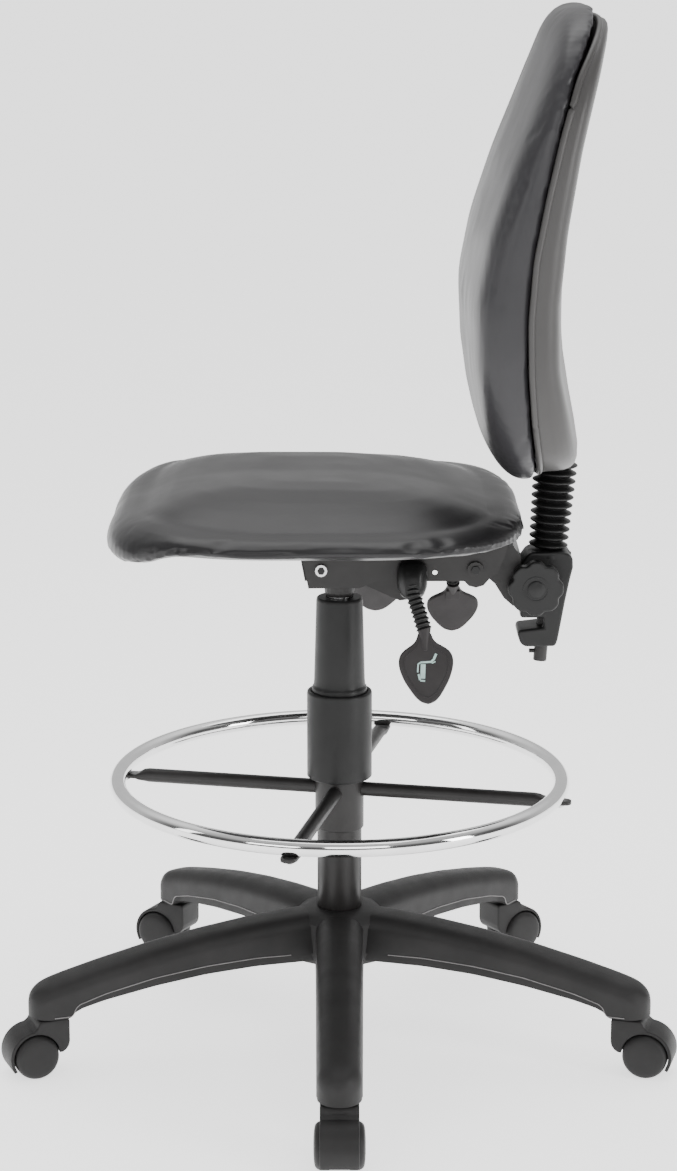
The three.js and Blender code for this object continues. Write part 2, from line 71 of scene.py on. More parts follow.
def material(name, dark, light, rough, spread, patch, grain, depth, cells=0.0, metal=0.0, specular=0.5):
    """A procedural surface: two tones mixed by soft noise, roughness that wanders, and a fine relief.

    patch and grain are the noise scales of the tones and of the relief, depth is the relief's strength, and
    cells is the scale of a leather-like cell pattern, with 0 for none.
    """
    mat = bpy.data.materials.new(name)
    mat.use_nodes = True
    nodes, links = mat.node_tree.nodes, mat.node_tree.links
    shader = nodes["Principled BSDF"]
    shader.inputs["Metallic"].default_value = metal
    shader.inputs["Specular IOR Level"].default_value = specular
    where = nodes.new("ShaderNodeTexCoord").outputs["Object"]

    def noise(scale, detail):
        n = nodes.new("ShaderNodeTexNoise")
        n.inputs["Scale"].default_value = scale
        n.inputs["Detail"].default_value = detail
        links.new(where, n.inputs["Vector"])
        return n.outputs["Fac"]

    soft = noise(patch, 3.0)
    ramp = nodes.new("ShaderNodeValToRGB")
    ramp.color_ramp.elements[0].position, ramp.color_ramp.elements[1].position = 0.3, 0.7
    ramp.color_ramp.elements[0].color, ramp.color_ramp.elements[1].color = dark, light
    links.new(soft, ramp.inputs["Fac"])
    links.new(ramp.outputs["Color"], shader.inputs["Base Color"])
    wander = nodes.new("ShaderNodeMapRange")
    wander.inputs["From Min"].default_value, wander.inputs["From Max"].default_value = 0.25, 0.75
    wander.inputs["To Min"].default_value = rough - spread
    wander.inputs["To Max"].default_value = rough + spread
    links.new(noise(patch * 2.3, 4.0), wander.inputs["Value"])
    links.new(wander.outputs["Result"], shader.inputs["Roughness"])
    height = noise(grain, 2.0)
    if cells:
        cell = nodes.new("ShaderNodeTexVoronoi")
        cell.feature = "DISTANCE_TO_EDGE"
        cell.inputs["Scale"].default_value = cells
        links.new(where, cell.inputs["Vector"])
        both = nodes.new("ShaderNodeMath")
        both.operation = "MULTIPLY_ADD"
        both.inputs[1].default_value = 1.6
        links.new(cell.outputs["Distance"], both.inputs[0])
        links.new(height, both.inputs[2])
        height = both.outputs["Value"]
    bump = nodes.new("ShaderNodeBump")
    bump.inputs["Strength"].default_value = depth
    bump.inputs["Distance"].default_value = RELIEF * MM
    links.new(height, bump.inputs["Height"])
    links.new(bump.outputs["Normal"], shader.inputs["Normal"])
    return mat


def vinyl(name, dark, light, rough, specular):
    """The upholstery cover: smooth, with a faint leather cell pattern."""
    return material(name, dark, light, rough, 0.03, 9.0, 1400.0, 0.04, 900.0, specular=specular)


WARM = (1.04, 1.0, 1.0)
BROWN = (1.06, 1.02, 1.0)
ROSE = (1.12, 1.0, 1.02)
RUST = (1.1, 1.02, 1.0)
PALE_GREEN = (0.75, 1.05, 1.0)
VINYL = vinyl("vinyl", rgb(0.011, (1.04, 1.0, 1.08)), rgb(0.015, (1.04, 1.0, 1.06)), 0.33, 0.34)
# the back's vinyl is the seat's vinyl made about twice as light: painted light for the light that falls on the
# back's side
LIT_BACK_VINYL = vinyl("lit_back_vinyl", rgb(0.022, (1.03, 1.0, 1.1)), rgb(0.03, (1.03, 1.0, 1.08)), 0.36, 0.33)
# the shell's vinyl is the same vinyl made several times lighter: painted light for the light on the shell's lit
# side
LIT_SHELL_VINYL = vinyl("lit_shell_vinyl", rgb(0.038, BROWN), rgb(0.05, BROWN), 0.4, 0.36)
NYLON = material("nylon", rgb(0.0125, WARM), rgb(0.018, WARM), 0.5, 0.05, 22.0, 2200.0, 0.16, specular=0.28)
# a light grey for the legs' parting line bead: a painted highlight of the light the line catches, far lighter
# than the nylon itself
LINE = material("parting_line_highlight", rgb(0.15, WARM), rgb(0.2, WARM), 0.45, 0.05, 90.0, 1800.0, 0.1, specular=0.4)
PLASTIC = material("hub_plastic", rgb(0.009), rgb(0.0125), 0.42, 0.04, 25.0, 1800.0, 0.08, specular=0.3)
PADDLE = material("paddle_plastic", rgb(0.02, ROSE), rgb(0.027, ROSE), 0.46, 0.04, 40.0, 2600.0, 0.14,
                  specular=0.3)
STEEL = material("black_steel", rgb(0.0115, RUST), rgb(0.017, RUST), 0.42, 0.05, 30.0, 700.0, 0.06,
                 specular=0.35)
RUBBER = material("black_rubber", rgb(0.007), rgb(0.011), 0.36, 0.05, 40.0, 1500.0, 0.06, specular=0.3)
CHROME = material("chrome", rgb(0.78), rgb(0.84), 0.07, 0.02, 40.0, 300.0, 0.01, metal=1.0)
BRIGHT = material("bright_steel", rgb(0.55), rgb(0.66), 0.2, 0.05, 60.0, 1200.0, 0.05, metal=1.0)
MINT = material("mint_print", rgb(0.5, PALE_GREEN), rgb(0.62, PALE_GREEN), 0.55, 0.05, 90.0, 3000.0, 0.04)
WOOD = material("plywood", rgb(0.34, (1.3, 1.0, 0.66)), rgb(0.46, (1.25, 1.0, 0.7)), 0.7, 0.06, 30.0, 600.0,
                0.2)

SLOT_LOOKS = {
    "nylon": NYLON, "hub_plastic": PLASTIC, "black_steel": STEEL, "chrome": CHROME, "bright_steel": BRIGHT,
    "vinyl": VINYL, "black_rubber": RUBBER, "plywood": WOOD,
}
NODE_SLOT = {s["node"]: s["material_slot"] for s in frame["record"]["subparts"]}
for node_name, node in frame["nodes"].items():
    node.data.materials.clear()
    node.data.materials.append(SLOT_LOOKS[NODE_SLOT[node_name]])


# ---------------------------------------------------------------- mesh helpers
def build(name, verts, faces, mat, sharp=38.0):
    """A mesh object from millimetre vertices, smooth but for edges bent more than `sharp` degrees."""
    mesh = bpy.data.meshes.new(name)
    placed = (np.asarray(verts, float) + (COLUMN_X, 0, 0)) * MM
    mesh.from_pydata(placed.tolist(), [], [list(map(int, f)) for f in faces])
    bm = bmesh.new()
    bm.from_mesh(mesh)
    bmesh.ops.remove_doubles(bm, verts=bm.verts, dist=1e-6)
    bmesh.ops.recalc_face_normals(bm, faces=bm.faces)
    for f in bm.faces:
        f.smooth = True
    for e in bm.edges:
        e.smooth = len(e.link_faces) == 2 and e.calc_face_angle(0.0) < math.radians(sharp)
    bm.to_mesh(mesh)
    bm.free()
    obj = bpy.data.objects.new(name, mesh)
    bpy.context.scene.collection.objects.link(obj)
    obj.data.materials.append(mat)
    return obj


def soften(obj, width, steps, sharpest):
    """Rounds the edges that bend more than `sharpest` degrees."""
    m = obj.modifiers.new("edge", "BEVEL")
    m.width, m.segments, m.limit_method = width * MM, steps, "ANGLE"
    m.angle_limit = math.radians(sharpest)
    m.harden_normals = True


def finish_piece(obj, body, nodes=(), bevel=0.0, steps=2):
    """Softens a piece's edges when asked, gives it its body, and hides the CAD nodes that it stands for."""
    if bevel:
        soften(obj, bevel, steps, 32)
    if nodes:
        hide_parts(*nodes)
    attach(obj, body)


def skin(rings, cap=True):
    """Quads over a list of equal rings; cap closes the first and last ring with one face each."""
    rings = [np.asarray(r, float) for r in rings]
    n = len(rings[0])
    verts = np.concatenate(rings)
    faces = []
    for i in range(len(rings) - 1):
        for j in range(n):
            k = (j + 1) % n
            faces.append((i * n + j, i * n + k, (i + 1) * n + k, (i + 1) * n + j))
    if cap:
        faces.append(tuple(range(n))[::-1])
        faces.append(tuple((len(rings) - 1) * n + j for j in range(n)))
    return verts, faces


def turned(profile, segments=96, loop=False):
    """Turns [radius, z] points about Z. A loop's profile closes on itself; other profiles are capped."""
    profile = [*profile, profile[0]] if loop else profile
    a = np.arange(segments) * 2 * math.pi / segments
    rings = [np.c_[r * np.cos(a), r * np.sin(a), np.full(segments, z)] for r, z in profile]
    return skin(rings, cap=not loop)


def arc(cx, cy, r, start, end, steps):
    t = np.radians(np.linspace(start, end, steps))
    return [(cx + r * math.cos(a), cy + r * math.sin(a)) for a in t]


def prism(outline, low, high, axis="x"):
    """A flat outline given thickness: along x it is [y, z], along y it is [x, z] and along z it is [x, y]."""
    o = np.asarray(outline, float)
    rings = []
    for level in (low, high):
        c = np.full(len(o), level)
        rings.append({"x": np.c_[c, o], "y": np.c_[o[:, 0], c, o[:, 1]], "z": np.c_[o, c]}[axis])
    return skin(rings)


def along(path, section, samples, sides=28, softening=24):
    """Sweeps rings along a smooth path that never runs straight along Y. section(t) is the radius at 0..1."""
    pts = np.asarray(path, float)
    d = np.r_[0, np.cumsum(np.linalg.norm(np.diff(pts, axis=0), axis=1))]
    t = np.linspace(0, 1, samples)
    fine = np.linspace(0, d[-1], 400)
    curve = np.c_[[np.interp(fine, d, pts[:, k]) for k in range(3)]].T
    for _ in range(softening):
        curve[1:-1] = (curve[:-2] + 2 * curve[1:-1] + curve[2:]) / 4
    s = np.r_[0, np.cumsum(np.linalg.norm(np.diff(curve, axis=0), axis=1))]
    at = np.c_[[np.interp(t * s[-1], s, curve[:, k]) for k in range(3)]].T
    way = np.gradient(at, axis=0)
    way /= np.linalg.norm(way, axis=1)[:, None]
    up = np.array([0.0, 1.0, 0.0])
    rings = []
    for i in range(samples):
        u = np.cross(way[i], up)
        u /= np.linalg.norm(u)
        v = np.cross(way[i], u)
        a = np.arange(sides) * 2 * math.pi / sides
        rings.append(at[i] + section(t[i]) * (np.cos(a)[:, None] * u + np.sin(a)[:, None] * v))
    return skin(rings)


def ellipse_ring(along_x, half_y, half_z, middle_y, middle_z, power, count):
    """A rounded-box ring that stands across X; power 1 is an ellipse, and less is squarer."""
    a = np.arange(count) * 2 * math.pi / count
    ca, sa = np.cos(a), np.sin(a)
    return np.c_[np.full(count, along_x), middle_y + half_y * np.sign(ca) * np.abs(ca) ** power,
                 middle_z + half_z * np.sign(sa) * np.abs(sa) ** power]


def join(*parts):
    """One part from several [vertices, faces] parts."""
    verts, faces, base = [], [], 0
    for v, f in parts:
        verts.append(np.asarray(v, float))
        faces += [[i + base for i in face] for face in f]
        base += len(v)
    return np.concatenate(verts), faces


def moved(part, matrix):
    """A part carried through a matrix."""
    v = np.asarray(part[0], float)
    m = np.array(matrix)
    return v @ m[:3, :3].T + m[:3, 3], part[1]


def smooth_read(stations, softness=10.0):
    """Reads a list of [place, value] stations as a gently rounded curve."""
    p = np.array(stations, float)
    fine = np.linspace(p[0, 0], p[-1, 0], 600)
    value = np.interp(fine, p[:, 0], p[:, 1])
    width = max(3, int(600 * softness / (p[-1, 0] - p[0, 0])) | 1)
    kernel = np.hanning(width + 2)[1:-1]
    kernel /= kernel.sum()
    half = width // 2
    first, last = value[1] - value[0], value[-1] - value[-2]
    padded = np.r_[value[0] + first * np.arange(-half, 0), value, value[-1] + last * np.arange(1, half + 1)]
    rounded = np.convolve(padded, kernel, "valid")
    return lambda x: np.interp(x, fine, rounded)


# ---------------------------------------------------------------- star base
LEG_TOP = smooth_read([(0, 157), (59, 155.5), (106, 151.5), (165, 144), (223, 134), (280, 121.5), (318, 112),
                       (334, 107.5), (349, 102), (363, 95)], 26)
LEG_LINE = smooth_read([(0, 111), (106, 113), (165, 110), (223, 103), (280, 91), (313, 80.5), (362, 64)], 18)
LEG_LOW = smooth_read([(0, 102), (106, 103), (165, 100), (223, 93), (280, 83), (318, 73.5), (362, 60)], 18)
LEG_WIDE = smooth_read([(0, 27.5), (120, 25.5), (338, 23.4), (362, 23.2)], 30)
STEM_R = 338.0
TIP_R = 24.2


BOSS_START = 317.5      # the leg's lower edge drops here into the caster boss
BOSS_LOW = 67.0
SOLID_FROM = 308.0      # the hollow underside ends here
WALL = 5.0
LIP = 2.6               # step between the side wall and its lower rim


def leg_rings():
    """Cross-sections of one leg from the hub outwards: a domed channel that ends in a solid rounded tip."""
    rings = []
    for r in np.r_[np.linspace(24, 306, 34), np.linspace(310, 326, 9), np.linspace(330, 361.9, 18)]:
        beyond = max(0.0, r - STEM_R) / TIP_R
        round_off = math.sqrt(max(0.0, 1 - beyond ** 2))
        w = LEG_WIDE(r) * max(round_off, 0.06)
        top = LEG_TOP(r) - 12 * (1 - round_off) ** 1.6
        drop = 1 / (1 + math.exp(-(r - BOSS_START) / 1.5))
        line = LEG_LINE(r) * (1 - drop) + BOSS_LOW * drop
        solid = 1 / (1 + math.exp(-(r - SOLID_FROM) / 1.2))
        low = LEG_LOW(r) * (1 - drop) + BOSS_LOW * drop
        ceiling = (top - 7) * (1 - solid) + (low + 0.05) * solid
        wall = min(WALL, 0.25 * w)
        lip = LIP * (1 - solid) + 0.02
        crown = min(17.0, 0.55 * (top - line))
        side = []
        for t in np.linspace(0, 1, 17):
            # from the foot of the side wall, up the wall, and over the dome to the middle
            if t < 0.3:
                side.append((w, line + (top - crown - line) * t / 0.3))
            else:
                a = (t - 0.3) / 0.7 * math.pi / 2
                x = w * math.cos(a) ** 0.62 if t < 1 else 0.0
                side.append((x, top - crown + crown * math.sin(a) ** 1.15))
        under = [(0, ceiling), (w - wall - lip, ceiling - 0.02), (w - wall - lip, low), (w - lip, low),
                 (w - lip, line + 0.02)]
        right = under + side
        left = [(-x, z) for x, z in right[1:-1]][::-1]
        rings.append([(r, x, z) for x, z in right + left])
    return rings


one_leg = skin(leg_rings())
legs = [moved(one_leg, Matrix.Rotation(k * LEG_STEP, 4, "Z")) for k in range(LEG_COUNT)]
hub_rings = []
for z, grow in ((97, 43), (100, 45), (104, 46), (112, 48), (135, 50), (146, 50), (151, 47), (154.5, 42),
                (156.5, 36), (157.3, 30), (157.3, 25.4), (97, 25.4)):
    a = np.arange(160) * 2 * math.pi / 160
    wide = 1.0 if grow > 40 else 0.0
    web = 7.0 * wide * (0.5 + 0.5 * np.cos(LEG_COUNT * a)) ** 1.2
    hub_rings.append(np.c_[(grow + web) * np.cos(a), (grow + web) * np.sin(a), np.full(160, z)])
hub_rings.append(hub_rings[0])
star = build("base_star", *join(*legs, skin(hub_rings, cap=False)), NYLON, 30)
finish_piece(star, "base", ["star_base"])

# the moulding's parting line, a fine bead along both sides of each leg, in a light grey that is a painted
# highlight of the light the line catches
BEAD_R = 0.6
PROUD = 0.12
edge_lines = []
for side in (1, -1):
    walk = [(r, side * (LEG_WIDE(r) + PROUD), LEG_LINE(r) + 0.5) for r in np.linspace(66, 309, 60)]
    walk += [(313.5, side * (LEG_WIDE(313) + PROUD), 78.5), (316.5, side * (LEG_WIDE(316) + PROUD), 71.5)]
    walk += [(r, side * (LEG_WIDE(r) + PROUD), BOSS_LOW + 2) for r in np.linspace(319, STEM_R, 5)]
    edge_lines.append(along(walk, lambda t: BEAD_R, 120, 8, 2))
line_parts = [moved(join(*edge_lines), Matrix.Rotation(k * LEG_STEP, 4, "Z")) for k in range(LEG_COUNT)]
finish_piece(build("leg_line_highlights", *join(*line_parts), LINE), "base")


# ---------------------------------------------------------------- casters
AXLE = (22.0, 25.0)     # the axle in the caster's own [x, z], with its stem on the Z axis
HOOD_INNER, HOOD_OUTER, HOOD_HALF = 26.4, 30.0, 20.4
HOOD_THINNEST = 27.2
HOOD_ROUND, HOOD_INNER_ROUND = 2.4, 0.35
# the part of the hood's outline that leaves its round wrap: the stem boss and the rear edge
HOOD_EDGE = [(25.1, 54.9), (21, 58.5), (18.6, 63), (16.5, 65.3), (13, 65.7), (-13.5, 65.7), (-16, 64.4),
             (-16.5, 62), (-16.5, 39), (-15.2, 33.5), (-12, 29.4), (-7.5, 26.9), (-4.6, 26.4)]


def hood_reach(angle):
    """Distance from the axle to the hood's outline in a given direction."""
    if angle < math.radians(80):
        return HOOD_OUTER
    d = np.array([math.cos(angle), math.sin(angle)])
    best = HOOD_OUTER
    for p, q in zip(HOOD_EDGE[:-1], HOOD_EDGE[1:]):
        p, q = np.array(p) - AXLE, np.array(q) - AXLE
        m = np.array([[d[0], p[0] - q[0]], [d[1], p[1] - q[1]]])
        if abs(np.linalg.det(m)) > 1e-9:
            t, u = np.linalg.solve(m, p)
            if t > 0 and -1e-6 <= u <= 1 + 1e-6:
                best = max(best, t)
    return best


def hood_mesh():
    """Wrap over the wheels with rounded edges, as sections about the axle, and the web between the wheels."""
    rings = []
    for a in np.radians(np.r_[np.linspace(-30, 78, 28), np.linspace(81, 175, 76)]):
        far = max(hood_reach(a), HOOD_THINNEST)
        big = min(HOOD_ROUND, (far - HOOD_INNER) * 0.42)
        small = HOOD_INNER_ROUND
        section = []
        for q, w, k, start in ((far - big, HOOD_HALF - big, big, 0),
                               (HOOD_INNER + small, HOOD_HALF - small, small, 90),
                               (HOOD_INNER + small, -HOOD_HALF + small, small, 180),
                               (far - big, -HOOD_HALF + big, big, 270)):
            section += arc(q, w, k, start, start + 90, 5)
        rings.append([(AXLE[0] + q * math.cos(a), w, AXLE[1] + q * math.sin(a)) for q, w in section])
    web = [(-7, 28), (-12, 34), (-12, 60), (20, 60), *arc(*AXLE, 28, 80, 10, 12),
           *arc(*AXLE, 14.5, -5, -120, 16)]
    return skin(rings), prism(web, -8.4, 8.4, "y")


wheel_profile = [(0, 27.0), (8, 26.9), (15, 26.5), (19, 25.9), (21.2, 25.2), (22.6, 24.2), (23.8, 22.7),
                 (24.7, 20.6), (25, 18.2), (25, 11.2), (24.4, 10.2), (23.2, 9.6), (14, 9.5), (13, 11.5),
                 (0, 11.5)]
wheel_part = moved(turned(wheel_profile, 72), Matrix.Rotation(-math.pi / 2, 4, "X"))
hood_part, web_part = hood_mesh()
TRAILS = [0, 74, 124, -118, -67]     # the way each caster points at rest, in degrees
for k, trail in enumerate(TRAILS):
    n = k + 1
    leg = k * LEG_STEP
    place = Matrix.Translation((STEM_R * math.cos(leg), STEM_R * math.sin(leg), 0)) @ Matrix.Rotation(
        math.radians(trail), 4, "Z")
    axle = place @ Matrix.Translation((AXLE[0], 0, AXLE[1]))
    hood = build(f"hood_{n}", *moved(hood_part, place), NYLON)
    finish_piece(hood, f"caster_swivel_{n}", [f"caster_hood_{n}"])
    finish_piece(build(f"hood_web_{n}", *moved(web_part, place), NYLON), f"caster_swivel_{n}", (),
                 0.8)
    ring = turned([(6.6, 65.8), (17.5, 65.8), (17.5, 66.9), (6.6, 66.9)], 40, True)
    finish_piece(build(f"stem_washer_{n}", *moved(ring, place), STEEL), f"caster_swivel_{n}")
    for side, flip in (("left", 0.0), ("right", math.pi)):
        wheel = build(f"wheel_{side}_{n}", *moved(wheel_part, axle @ Matrix.Rotation(flip, 4, "X")), NYLON,
                      50)
        finish_piece(wheel, f"wheel_{side}_{n}", [f"caster_wheel_{side}_{n}"])


# ---------------------------------------------------------------- column, foot ring and collar
tube = build("post_tube", *turned([(25, 82), (25, 400), (23.5, 400), (23.5, 504), (21.5, 504), (21.5, 90),
                                   (4.6, 90), (4.6, 80), (23.5, 80)], 96, True), STEEL)
finish_piece(tube, "base", ["column_tube"])
cover = build("post_cover", *turned([(23.8, 401), (31, 401), (31, 413.2), (30.2, 415.6), (29.3, 416.6),
                                     (28.9, 418.4), (28.4, 424), (25.9, 514), (25.4, 516.8), (24.2, 518),
                                     (15.5, 518), (14.8, 516.6), (14.8, 513), (23.8, 511)], 96, True),
                                     PLASTIC)
finish_piece(cover, "base", ["column_cover"])
rod = build("gas_rod", *turned([(4.3, 120), (13, 120), (14, 121), (14, 539), (13, 540), (0, 540), (0, 270),
                                (4.3, 270)],
                               64), BRIGHT)
finish_piece(rod, "lift", ["gas_cylinder"])
collar = build("ring_collar", *turned([(25.3, 310.3), (35, 310.3), (36.5, 311.8), (36.5, 407.5),
                                       (36.1, 409.6), (35, 410.6), (32.6, 410.6), (31.7, 409.6), (31.7, 396),
                                       (25.3, 391)], 96, True),
               PLASTIC)
finish_piece(collar, "ring_lock", ["locking_collar"])

RING_R, RING_Z, TUBE_R = 249.6, 307.7, 9.0
SPOKE_Z = 296.6
section = [(RING_R + TUBE_R * math.cos(t),
            RING_Z + TUBE_R * math.sin(t)) for t in np.arange(24) * math.pi / 12]
ring = build("chrome_ring", *turned(section, 192, True), CHROME)
finish_piece(ring, "foot_rest", ["foot_ring"])
frame_parts = [turned([(25.3, 251), (26.6, 251), (27.4, 252), (27.4, 308.6), (26.6, 309.5), (25.3, 309.5)],
                      72, True)]
screw_parts = []
for k in range(4):
    turn = Matrix.Rotation(math.radians(-12 + 90 * k), 4, "Z")
    rings = []
    for x, half_wide, half_tall in ((26, 8, 8), (222, 8, 8), (228, 8.4, 7), (233, 9.3, 4.2), (237, 9.8, 2.4),
                                    (255, 9.2, 2.3), (260, 7.6, 2.3), (262.6, 4.2, 2.1), (263, 1.5, 1.8)):
        flattened = half_tall <= 5
        rings.append(ellipse_ring(x, half_wide, half_tall, 0, SPOKE_Z - 0.7 if flattened else SPOKE_Z,
                                  0.45 if flattened else 1.0, 32))
    frame_parts.append(moved(skin(rings), turn))
    head = turned([(0, 289.6), (3.2, 289.9), (5.2, 291.2), (5.6, 293.4), (0, 293.4)], 24)
    screw_parts.append(moved(head, turn @ Matrix.Translation((250, 0, 0))))
finish_piece(build("ring_frame", *join(*frame_parts), STEEL, 30), "foot_rest",
             ["foot_ring_frame"])
finish_piece(build("ring_screws", *join(*screw_parts), BRIGHT), "foot_rest")

# --------------------------------------------------------------- mechanism: CAD steelwork with softened edges
for name, width in (("mechanism_housing", 1.0), ("seat_plate", 0.8), ("back_arm", 0.8),
                    ("tilt_pivot_pin", 0.6), ("back_pivot_pin", 1.2)):
    soften(frame["nodes"][name], width, 2, 35)
pan_outline = [(124 * math.copysign(abs(x) ** 0.54, x), -25 + 115 * math.copysign(abs(y) ** 0.54, y))
               for x, y in arc(0, 0, 1, 0, 357, 64)]
pan = build("pan_board", *prism(pan_outline, 597.2, 606, "z"), PLASTIC)
finish_piece(pan, "seat", ["seat_pan"], 1.2)
pan_screws = [moved(turned([(0, 597.0), (6, 597.0), (6, 594.2), (4.6, 593.2), (0, 593.0)], 20),
                    Matrix.Translation((x, y, 0.2))) for x in (-95, 95) for y in (-110, 60)]
finish_piece(build("pan_screws", *join(*pan_screws), BRIGHT), "seat")
nuts = []
for y, z, r, x in ((-20, 560, 4.2, 57.6), (148, 561, 5.0, 57.6)):
    hexagon = [(y + r * math.cos(t), z + r * math.sin(t)) for t in np.arange(6) * math.pi / 3]
    nuts.append(prism(hexagon, x, x + 1.6, "x"))
finish_piece(build("pivot_sockets", *join(*nuts), RUBBER), "seat", (), 0.3)


# ---------------------------------------------------------------- levers
STEM_FOLDS = 13
PADDLE_SIDE = [(0, 4), (6.8, 4), (7.6, 1), (8.6, -4), (12, -8.5), (19, -12.5), (25.5, -17), (29, -22.5),
               (30, -29.5), (28.6, -38), (24.5, -49), (18, -60), (12.5, -68), (7, -73), (0, -74.8)]


def paddle_outline(scale=1.0, centre=-36.0):
    """The spade shape, mirrored from one rounded side, in the paddle's own [x, y] with its neck at 0."""
    half = np.array(PADDLE_SIDE, float)
    d = np.r_[0, np.cumsum(np.linalg.norm(np.diff(half, axis=0), axis=1))]
    t = np.linspace(0, d[-1], 60)
    h = np.c_[np.interp(t, d, half[:, 0]), np.interp(t, d, half[:, 1])]
    for _ in range(5):
        h[1:-1] = (h[:-2] + 2 * h[1:-1] + h[2:]) / 4
    loop = np.r_[h, (h * (-1, 1))[::-1][1:-1]]
    return (loop - (0, centre)) * scale + (0, centre)


def paddle_frame(top, tip, side):
    """The paddle's place: its y axis runs up from tip to top, and its face looks out to the side."""
    down = (Vector(tip) - Vector(top)).normalized()
    out = Vector((side, 0, 0))
    out = (out - down * out.dot(down)).normalized()
    y_axis = -down
    x_axis = y_axis.cross(out)
    m = Matrix((x_axis, y_axis, out)).transposed().to_4x4()
    m.translation = Vector(top) + down * 6.5
    return m


def flat_ring(outer, inner, z0, z1):
    """A raised band between two like outlines."""
    rings = [np.c_[o, np.full(len(o), z)] for o, z in ((outer, z0), (outer, z1), (inner, z1), (inner, z0))]
    rings.append(rings[0])
    return skin(rings, cap=False)


def lever(name, start, bend, top, tip, side, picture):
    """A rubber boot and corrugated stem on the housing's side, and a spade paddle with a raised rim.

    start is the [y, z] of the lever's pivot, side is 1 on the near side and -1 on the far side.
    """
    body = f"{name}_lever"
    s = side
    path = [(54 * s, *start), (60 * s, *start), *bend, top]
    thick = 7.9 if s > 0 else 6.3

    def stem_radius(t):
        return thick + 0.9 * math.cos(t * 2 * math.pi * STEM_FOLDS) * (1 if t > 0.3 else 0)

    stem = along(path, stem_radius, 150)
    boot_rings = []
    for x, w, h, low in ((53.6, 15, 15, 0), (57, 16.5, 17, -1), (63, 16.5, 18, -3), (69, 14.5, 18, -6),
                         (74, 11, 15, -9), (78, 8, 10, -12)):
        boot_rings.append(ellipse_ring(x * s, w, h, start[0], start[1] + low, 0.6, 40))
    rod_obj = build(f"{name}_stem", *join(stem, skin(boot_rings)), RUBBER, 50)
    finish_piece(rod_obj, body, [f"{name}_lever_rod"])
    m = paddle_frame(top, tip, s)
    face = build(f"{name}_paddle", *moved(prism(paddle_outline(), -3.2, 2.2, "z"), m), PADDLE)
    finish_piece(face, body, [f"{name}_lever_paddle"], 1.7, 4)
    rim = flat_ring(paddle_outline(0.83, -37), paddle_outline(0.79, -37), 1.2, 2.75)
    finish_piece(build(f"{name}_rim", *moved(rim, m), PADDLE), body, (), 0.25, 2)
    neck = along([(0, 10, -0.8), (0, 3, -0.6), (0, -8, -0.4), (0, -17, -0.2)], lambda t: 7.9 - 4.6 * t, 16)
    clip = prism([(-8, -1), (8, -1), (8, -15), (-8, -15)], -5.4, -2.6, "z")
    joined = build(f"{name}_neck", *moved(join(neck, clip), m), PADDLE, 50)
    finish_piece(joined, body, (), 0.5, 2)
    if picture:
        finish_piece(build(f"{name}_sign", *moved(join(*sign_parts()), m), MINT), body)


def bar(p, q, w, z0=2.2, z1=2.5):
    """A flat stroke of the lever's sign."""
    a, b = np.array(p, float), np.array(q, float)
    n = np.array([-(b - a)[1], (b - a)[0]]) / np.linalg.norm(b - a) * w / 2
    return prism([a + n, b + n, b - n, a - n], z0, z1, "z")


def sign_parts():
    """A plain sign of a reclining seat: a seat line, a leaning back and a footing."""
    return [bar((9, -26), (11.5, -21), 2.6), bar((5.5, -29.5), (9.5, -26), 2.2),
            bar((-6, -29.5), (6, -29.5), 2.0), bar((-8.6, -31), (-9.6, -40), 1.6),
            bar((-8.8, -31), (-5, -29.3), 1.6), bar((-3.2, -31.5), (-4.6, -47), 5.2),
            bar((-8.8, -42), (-7.6, -48.5), 2.2), bar((-7.4, -49), (-2.2, -49.8), 1.8),
            bar((6.2, -31), (10.2, -29.4), 1.2)]


lever("back_angle", (79, 556), [(69, 78.5, 551), (75, 80.5, 536), (81, 87, 517)], (86, 91.5, 502),
      (112, 95.5, 433), 1, True)
lever("height", (42, 556), [(-70, 42, 550), (-82, 42, 536)], (-98, 42, 523), (-151, 42, 470), -1, False)
lever("tilt", (122, 564), [(-68, 124, 556), (-80, 128, 536)], (-96, 130, 510), (-142, 131, 446), -1, False)


# ---------------------------------------------------------------- bracket, knob, upright and bellows
LEAN = 0.07             # the upright's slope to the rear
BRACKET_Y, BRACKET_Z = 232.5, 573.0
KNOB_Y, KNOB_Z = 214.0, 540.0
KNOB_LOBES = 8


def upright_y(z):
    """The upright's middle line at height z."""
    return BRACKET_Y + (z - BRACKET_Z) * LEAN


def leaning(z):
    """The place of a turned piece on the upright, with its own origin at height z."""
    return Matrix.Translation((0, upright_y(z), z)) @ Matrix.Rotation(-math.atan(LEAN), 4, "X")


shell_side = [(207, 571), (212, 573), (246, 573.5), (253, 571), (256.6, 565), (257, 556), (253.5, 541),
              (249, 518), (241.5, 474), (239, 466.5), (205, 466), (200, 470), (197, 479), (197.4, 484.5),
              (226, 488), (225, 499), (199.5, 499), (199.5, 560)]
bracket = build("bracket_shell", *prism(shell_side, -24, 24, "x"), PLASTIC)
finish_piece(bracket, "back_arm", ["bracket_housing"], 6.0, 5)
collar_top = turned([(8, -2), (23.5, -2), (24.5, 0.5), (24.2, 4), (21, 6), (8, 6)], 64, True)
finish_piece(build("bracket_mouth", *moved(collar_top, leaning(566)), PLASTIC), "back_arm")

